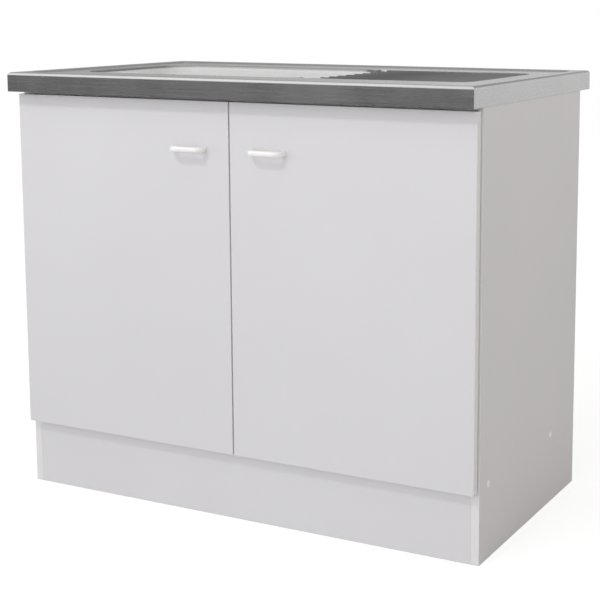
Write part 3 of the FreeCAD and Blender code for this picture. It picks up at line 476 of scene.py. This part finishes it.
def new_piece(name, points, faces):
    """A smooth mesh object of these points and faces."""
    mesh = bpy.data.meshes.new(name)
    mesh.from_pydata(points.reshape(-1, 3).tolist(), [], faces)
    mesh.polygons.foreach_set("use_smooth", np.ones(len(faces), bool))
    piece = bpy.data.objects.new(name, mesh)
    bpy.context.scene.collection.objects.link(piece)
    return piece


# %% [markdown]
# ## The overflow pipe
#
# The pipe from the overflow to the waste is a bent tube with ripples pressed into it, so that it can
# take up small errors. The construction model has it as a smooth tube of the same outer size. The
# ripples are a wave in the radius along the path, so the whole surface is one formula: a circle of
# that radius, carried down a straight run, round a quarter turn and along a second run. The rings go
# out over the outer wall, come back over the inner wall and end where they began, which closes the
# tube at both ends with no extra faces. Its rings run the other way round from a rib's, so the corners
# of each face are taken in turned order, and the faces still point outwards.


# %% The path of the pipe
def bent_run(distance, start, corner, end, bend):
    """The point and the heading at each distance along two straight runs joined by an arc.

    On the first run the point is start + distance x heading. On the arc it turns about the arc's
    centre by distance / bend. On the second run it goes straight on from the arc's end.
    """
    first = (corner - start) / np.linalg.norm(corner - start)
    second = (end - corner) / np.linalg.norm(end - corner)
    straight = np.linalg.norm(corner - start) - bend
    turn = np.clip((distance - straight) / bend, 0.0, math.pi / 2)[:, None]
    centre = corner - first * bend + second * bend
    on_arc = centre - second * bend * np.cos(turn) + first * bend * np.sin(turn)
    before = np.minimum(distance - straight, 0.0)[:, None]
    after = np.maximum(distance - straight - bend * math.pi / 2, 0.0)[:, None]
    point = on_arc + first * before + second * after
    heading = first * np.cos(turn) + second * np.sin(turn)
    return point, heading


# %% The rippled wall
PIPE_RADIUS, PIPE_WALL = 12 * MM, 1.2 * MM
PIPE_BEND, PIPE_CUFF = 26 * MM, 18 * MM
PIPE_SIDES = 40
RIPPLE_PITCH, RIPPLE_DEPTH = 5 * MM, 1.6 * MM
RINGS_TO_A_RIPPLE = 6
TURNED_ROUND = [0, 3, 2, 1]


def rippled_tube(start, corner, end):
    """Rings of a tube of radius R - depth x (1 + cos(2 pi s / pitch)) / 2 between two smooth cuffs."""
    runs = np.linalg.norm(corner - start) + np.linalg.norm(end - corner)
    length = runs - 2 * PIPE_BEND + PIPE_BEND * math.pi / 2
    s = np.linspace(0.0, length, int(length / (RIPPLE_PITCH / RINGS_TO_A_RIPPLE)))
    rippled = np.clip((np.minimum(s, length - s) - PIPE_CUFF) / RIPPLE_PITCH, 0.0, 1.0)
    wave = (1 + np.cos(2 * math.pi * (s - PIPE_CUFF) / RIPPLE_PITCH)) / 2
    outer = PIPE_RADIUS - RIPPLE_DEPTH * rippled * wave
    out_and_back = np.concatenate([s, s[::-1], s[:1]])
    radii = np.concatenate([outer, (outer - PIPE_WALL)[::-1], outer[:1]])
    point, heading = bent_run(out_and_back, start, corner, end, PIPE_BEND)
    across = np.array([0.0, 1.0, 0.0])
    third = np.cross(heading, across)
    around = np.linspace(0.0, 2 * math.pi, PIPE_SIDES, endpoint=False)
    spread = across * np.cos(around)[:, None]
    ring = spread[None] + third[:, None] * np.sin(around)[None, :, None]
    return point[:, None] + ring * radii[:, None, None], length


# %% The rippled overflow pipe
pipe_low, pipe_high = (np.array(corner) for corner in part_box("overflow_pipe"))
pipe_y = (pipe_low[1] + pipe_high[1]) / 2
upright_x = pipe_high[0] - PIPE_RADIUS
level_z = pipe_low[2] + PIPE_RADIUS
rings, pipe_length = rippled_tube(
    np.array([upright_x, pipe_y, pipe_high[2]]),
    np.array([upright_x, pipe_y, level_z]),
    np.array([pipe_low[0], pipe_y, level_z]),
)
count, sides = rings.shape[:2]
faces = ring_faces(count, sides)[:, TURNED_ROUND] % ((count - 1) * sides)
pipe = new_piece("rippled_overflow_pipe", rings[:-1], faces.tolist())
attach(pipe, "cabinet")
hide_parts("overflow_pipe")
moulded("ripple_plastic", grey(0.76, 0.006), 0.38).wear(pipe)
print("overflow pipe:", round(pipe_length / MM), "mm long,", len(faces), "faces")

# %% [markdown]
# ## Ribs on the drainer
#
# On the flat lands between the drainer's grooves the press raises low ribs. They are highest at the
# bowl, where the camera sees them against its bright wall as a row of notches, and they die out along
# the drainer. One rib is a hump over a long narrow strip. Its crest falls as the square of the
# distance still to go, and across it the height is one arch of a cosine. The strip's width opens as a
# quarter circle over the nose, which gives each rib a round end. The deck's own mesh says how high the
# land lies under each end, so the ribs stay seated when the deck changes.

# %% One rib
RIB_COUNT = 9
RIB_PITCH = 35 * MM
RIB_HALF_WIDTH = 4.4 * MM
RIB_RISE = 3.2 * MM
RIB_LENGTH = 220 * MM
RIB_ROOT = 0.3 * MM
RIB_NOSE_GAP = 0.003
RIB_STATIONS, RIB_SPACING, RIB_CROSSING = 60, 1.5, 17


def deck_level(x, y):
    """The height of the deck's upper side, found by looking down on its mesh."""
    _, place, _, _ = nodes["sink_deck"].ray_cast((x, y, deck_top + 1.0), (0, 0, -1))
    return place.z


def rib_loops(x_start, x_end, y):
    """Closed loops along one rib: the arch above, and the root let into the sheet below.

    Crest: rise x (1 - s)^2 x (1 + cos(pi v)) / 2 over the land, with s along the rib and v across it.
    Width: half width x sqrt(1 - (1 - d)^2) over the nose, where d is the distance in half widths.
    The whole rib sinks by root / 2 x s, so that its far end comes to a point in the sheet.
    """
    s = np.linspace(0.0, 1.0, RIB_STATIONS) ** RIB_SPACING
    v = np.linspace(-1.0, 1.0, RIB_CROSSING)
    x = x_start + (x_end - x_start) * s
    land = deck_level(x_start, y) + (deck_level(x_end, y) - deck_level(x_start, y)) * s
    opened = np.clip((x - x_start) / RIB_HALF_WIDTH, RIB_NOSE_GAP, 1.0)
    width = RIB_HALF_WIDTH * np.sqrt(1 - (1 - opened) ** 2)
    arch = RIB_RISE * np.outer((1 - s) ** 2 * width / RIB_HALF_WIDTH, (1 + np.cos(math.pi * v)) / 2)
    crest = (land - RIB_ROOT / 2 * s)[:, None] + arch
    upper = np.stack([np.repeat(x[:, None], len(v), 1), y + np.outer(width, v), crest], axis=-1)
    lower = upper[:, ::-1].copy()
    lower[..., 2] = (land - RIB_ROOT)[:, None]
    return np.concatenate([upper, lower], axis=1)


# %% The row of ribs
rib_start = bowl_high.x + 1 * MM
places = bowl_middle.y + (np.arange(RIB_COUNT) - (RIB_COUNT - 1) / 2) * RIB_PITCH
ribs_points = np.stack([rib_loops(rib_start, rib_start + RIB_LENGTH, float(y)) for y in places])
count, sides = ribs_points.shape[1:3]
faces = []
for first in range(0, RIB_COUNT * count * sides, count * sides):
    faces += ring_faces(count, sides, first).tolist()
    faces.append(list(range(first, first + sides)))
    faces.append(list(range(first + (count - 1) * sides, first + count * sides))[::-1])
ribs = new_piece("drainer_ribs", ribs_points, faces)
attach(ribs, "cabinet")
# The ribs take the drainer's darkened tone, a painted dark reflection.
rib_steel, tones, roughness, lines = sheet_steel("rib_steel", TOP_STEEL * DRAINER_PAINTED_SHADE, DRAINER_ROUGH)
rib_steel.feed(Base_Color=tones, Roughness=roughness).bump(lines, BRUSH_DEPTH, SHEET_BUMP).wear(ribs)
print("ribs:", RIB_COUNT, "crest over the land at the bowl:", round(RIB_RISE / MM, 1), "mm")

# %% [markdown]
# ## The world
#
# The photograph stands the unit on pure white. White that comes from strong lamps would wash out the
# doors, so the white is a colour: the world shows white to the camera, and what it sends to the object
# is worked out apart. It does two jobs. Steel has almost no colour of its own and shows the room, so
# glossy rays meet a drawn room. The boards need soft light from all round, so the other rays meet a
# smooth glow that is a little dimmer and warmer from the right, where the unit's darker side is.

# %% The heading of a ray in the world
world = bpy.data.worlds.new("studio")
bpy.context.scene.world = world
world.use_nodes = True
world.node_tree.nodes.clear()
sky = Wiring(world.node_tree)
heading = sky.add("ShaderNodeTexCoord", {}, output="Generated")
ray_x, ray_y, ray_z = (sky.axis(heading, index) for index in range(3))

# %% [markdown]
# In the drawn room the front is dark up to the height of the skirt's reflection, which keeps the skirt
# grey, and bright above it, which draws the white line along the rounded edge. The wall behind is
# mid-grey for the deck and darker higher up for the slopes. Both get their tone from left to right, as
# the deck and the edge do in the photograph. Behind the left half it is dark below the horizon, and
# that is the thin dark line along the rear edge. The ceiling is bright in front and dimmer behind, so
# that the bowl's floor, seen from above, stays short of white.

# %% The room that steel mirrors
ROOM_FRONT, ROOM_FRONT_MIDDLE = 0.11, 1.1
FRONT_LOW_EDGE, FRONT_HIGH_EDGE = (0.04, 0.2), (0.36, 0.5)
ROOM_BACK_LEFT, ROOM_BACK_RIGHT, ROOM_BACK_HIGH, ROOM_BELOW = 0.5, 0.78, 0.32, 0.08
BACK_HIGH_EDGE, BELOW_EDGE, BELOW_LEFT = (0.22, 0.36), (0.01, -0.05), (0.2, -0.1)
CEILING_LEFT, CEILING_RIGHT, CEILING_BACK = 1.5, 0.95, 0.75
CEILING_EDGE, CEILING_BACK_EDGE = (0.66, 0.8), (0.0, 0.3)
LEFT_TO_RIGHT, FRONT_TO_BACK = (-0.6, -0.36), (-0.5, -0.1)

on_right = sky.between(ray_x, *LEFT_TO_RIGHT)
overhead = sky.blend(on_right, CEILING_LEFT, CEILING_RIGHT)
front_low = sky.blend(sky.between(ray_z, *FRONT_LOW_EDGE), ROOM_FRONT, ROOM_FRONT_MIDDLE)
front = sky.blend(sky.between(ray_z, *FRONT_HIGH_EDGE), front_low, overhead)
wall = sky.blend(on_right, ROOM_BACK_LEFT, ROOM_BACK_RIGHT)
below = sky.times(sky.between(ray_z, *BELOW_EDGE), sky.between(ray_x, *BELOW_LEFT))
back = sky.blend(below, sky.blend(sky.between(ray_z, *BACK_HIGH_EDGE), wall, ROOM_BACK_HIGH), ROOM_BELOW)
ceiling = sky.blend(sky.between(ray_y, *CEILING_BACK_EDGE), overhead, CEILING_BACK)
walls = sky.blend(sky.between(ray_y, *FRONT_TO_BACK), front, back)
room = sky.blend(sky.between(ray_z, *CEILING_EDGE), walls, ceiling)

# %% The glow that lights the boards
AMBIENT = 1.38
LIGHT_LEFT, LIGHT_RIGHT = 1.1, 0.66
LIGHT_FRONT, LIGHT_BACK = 1.12, 0.88
LIGHT_LEVEL, LIGHT_ABOVE = 1.32, 0.36
ALL_ROUND, GLOW_RISE, WARM_SIDE = (-1.0, 1.0), (0.0, 0.7), (0.1, 0.9)
WHITE, WARM = (1.0, 1.0, 1.0, 1.0), (1.0, 0.94, 0.865, 1.0)

from_side = sky.between(ray_x, *ALL_ROUND, LIGHT_LEFT, LIGHT_RIGHT)
from_depth = sky.between(ray_y, *ALL_ROUND, LIGHT_FRONT, LIGHT_BACK)
from_height = sky.between(ray_z, *GLOW_RISE, LIGHT_LEVEL, LIGHT_ABOVE)
glow = sky.times(from_side, AMBIENT, from_depth, from_height)

# %% Which ray meets what
path = sky.tree.nodes.new("ShaderNodeLightPath").outputs
mirrored = sky.sum("MAXIMUM", path["Is Glossy Ray"], path["Is Transmission Ray"])
strength = sky.blend(path["Is Camera Ray"], sky.blend(mirrored, glow, room), 1.0)
untinted = sky.sum("MAXIMUM", mirrored, path["Is Camera Ray"])
tint = sky.mix(sky.blend(untinted, sky.between(ray_x, *WARM_SIDE), 0.0), WHITE, WARM)
background = sky.add("ShaderNodeBackground", {"Color": tint, "Strength": strength})
sky.join(background, sky.tree.nodes.new("ShaderNodeOutputWorld").inputs["Surface"])
bpy.context.scene.view_settings.view_transform = "Standard"
print("world nodes:", len(sky.tree.nodes))

# %% [markdown]
# ## The floor
#
# The floor is pale and plain. To the camera it glows just enough that the lit part reaches white and
# the shadow stays. In reflections it is pale behind the right half and dark elsewhere, like the room.

# %% A pale floor that keeps the shadow
FLOOR_SIZE = 14.0
FLOOR_PALE, FLOOR_SEEN, FLOOR_DARK = 0.8, 0.34, 0.2
FLOOR_GLOW = 0.78
DARK_IN_FRONT, DARK_ON_LEFT, DARK_FADE = -0.5, -1.0, 1.0

bpy.ops.mesh.primitive_plane_add(size=FLOOR_SIZE, location=(0, 0, 0))
floor = bpy.context.object
floor.name = "floor"
pale = Finish("floor_pale", Roughness=0.9, Specular_IOR_Level=0.1)
path = pale.tree.nodes.new("ShaderNodeLightPath").outputs
seen = pale.sum("MAXIMUM", path["Is Camera Ray"], path["Is Transmission Ray"])
in_front = pale.within(pale.axis(pale.place, 1), DARK_IN_FRONT, DARK_FADE)
on_left = pale.within(pale.axis(pale.place, 0), DARK_ON_LEFT, DARK_FADE)
dark = pale.times(path["Is Glossy Ray"], pale.sum("MAXIMUM", in_front, on_left))
tone = pale.blend(dark, pale.blend(seen, FLOOR_PALE, FLOOR_SEEN), FLOOR_DARK)
pale.shader.inputs["Emission Color"].default_value = WHITE
pale.feed(Base_Color=tone, Emission_Strength=pale.times(seen, FLOOR_GLOW))
floor.data.materials.append(pale.material)

# %% [markdown]
# ## Lamps
#
# A band of shade under the steel's front edge tells where the main light is: the overhang is
# 27 mm deep and its shade reaches about as far down the doors, so the light comes from about
# 45 degrees above the front. The shade's edge is fairly crisp and only a fifth darker, so that
# lamp is small and weak beside the light from all round. The steel mirrors the room drawn in the
# world, so the lamps stay out of reflections and put no hot spots on the rounded edge.

# %% Key light and top light
LAMP_AIM = (0.0, -0.2, 0.6)


def area_lamp(name, place, width, height, watts):
    """A rectangular lamp, in metres and watts, turned towards the unit and hidden from reflections."""
    data = bpy.data.lights.new(name, "AREA")
    data.shape = "RECTANGLE"
    data.size, data.size_y = width, height
    data.energy = watts
    lamp = bpy.data.objects.new(name, data)
    bpy.context.scene.collection.objects.link(lamp)
    lamp.location = place
    lamp.rotation_euler = (Vector(LAMP_AIM) - Vector(place)).to_track_quat("-Z", "Y").to_euler()
    lamp.visible_glossy = False


area_lamp("key", place=(-0.5, -3.0, 3.7), width=1.4, height=0.4, watts=33.0)
area_lamp("high", place=(0.1, -1.7, 4.2), width=1.4, height=1.0, watts=8.0)

# %% [markdown]
# ## Camera
#
# The photograph is taken from the right of the unit, a little above the worktop, with a lens whose
# shift keeps upright edges nearly upright. The camera's place, turn and focal length come from a fit
# of the unit's corners to the picture. Part of that shift is given up for a small downward tilt,
# because the other views keep the same shift and would cut the unit off.

# %% The camera
PICTURE = 600
SENSOR = 36.0
FOCAL_PX = 1394.98
CENTRE_X, CENTRE_Y = 370, 200
CAMERA = (1.402377, -2.430987, 0.990150)
TURN, TILT = 0.475, 0.142

camera_data = bpy.data.cameras.new("camera")
camera_data.sensor_width = SENSOR
camera_data.lens = FOCAL_PX / PICTURE * SENSOR
camera_data.shift_x = (PICTURE / 2 - CENTRE_X) / PICTURE
camera_data.shift_y = (CENTRE_Y - PICTURE / 2) / PICTURE
camera = bpy.data.objects.new("camera", camera_data)
bpy.context.scene.collection.objects.link(camera)
camera.location = CAMERA
camera.rotation_euler = (math.pi / 2 - TILT, 0.0, TURN)
bpy.context.scene.camera = camera
print("focal length:", round(camera_data.lens, 1), "mm")

# %% [markdown]
# ## Checks
#
# Every node has to wear a finish made here, and the nodes without one are printed.

# %% Nodes without a finish
bare = sorted(set(nodes) - finished - {"overflow_pipe"})
print("nodes without a finish:", bare)
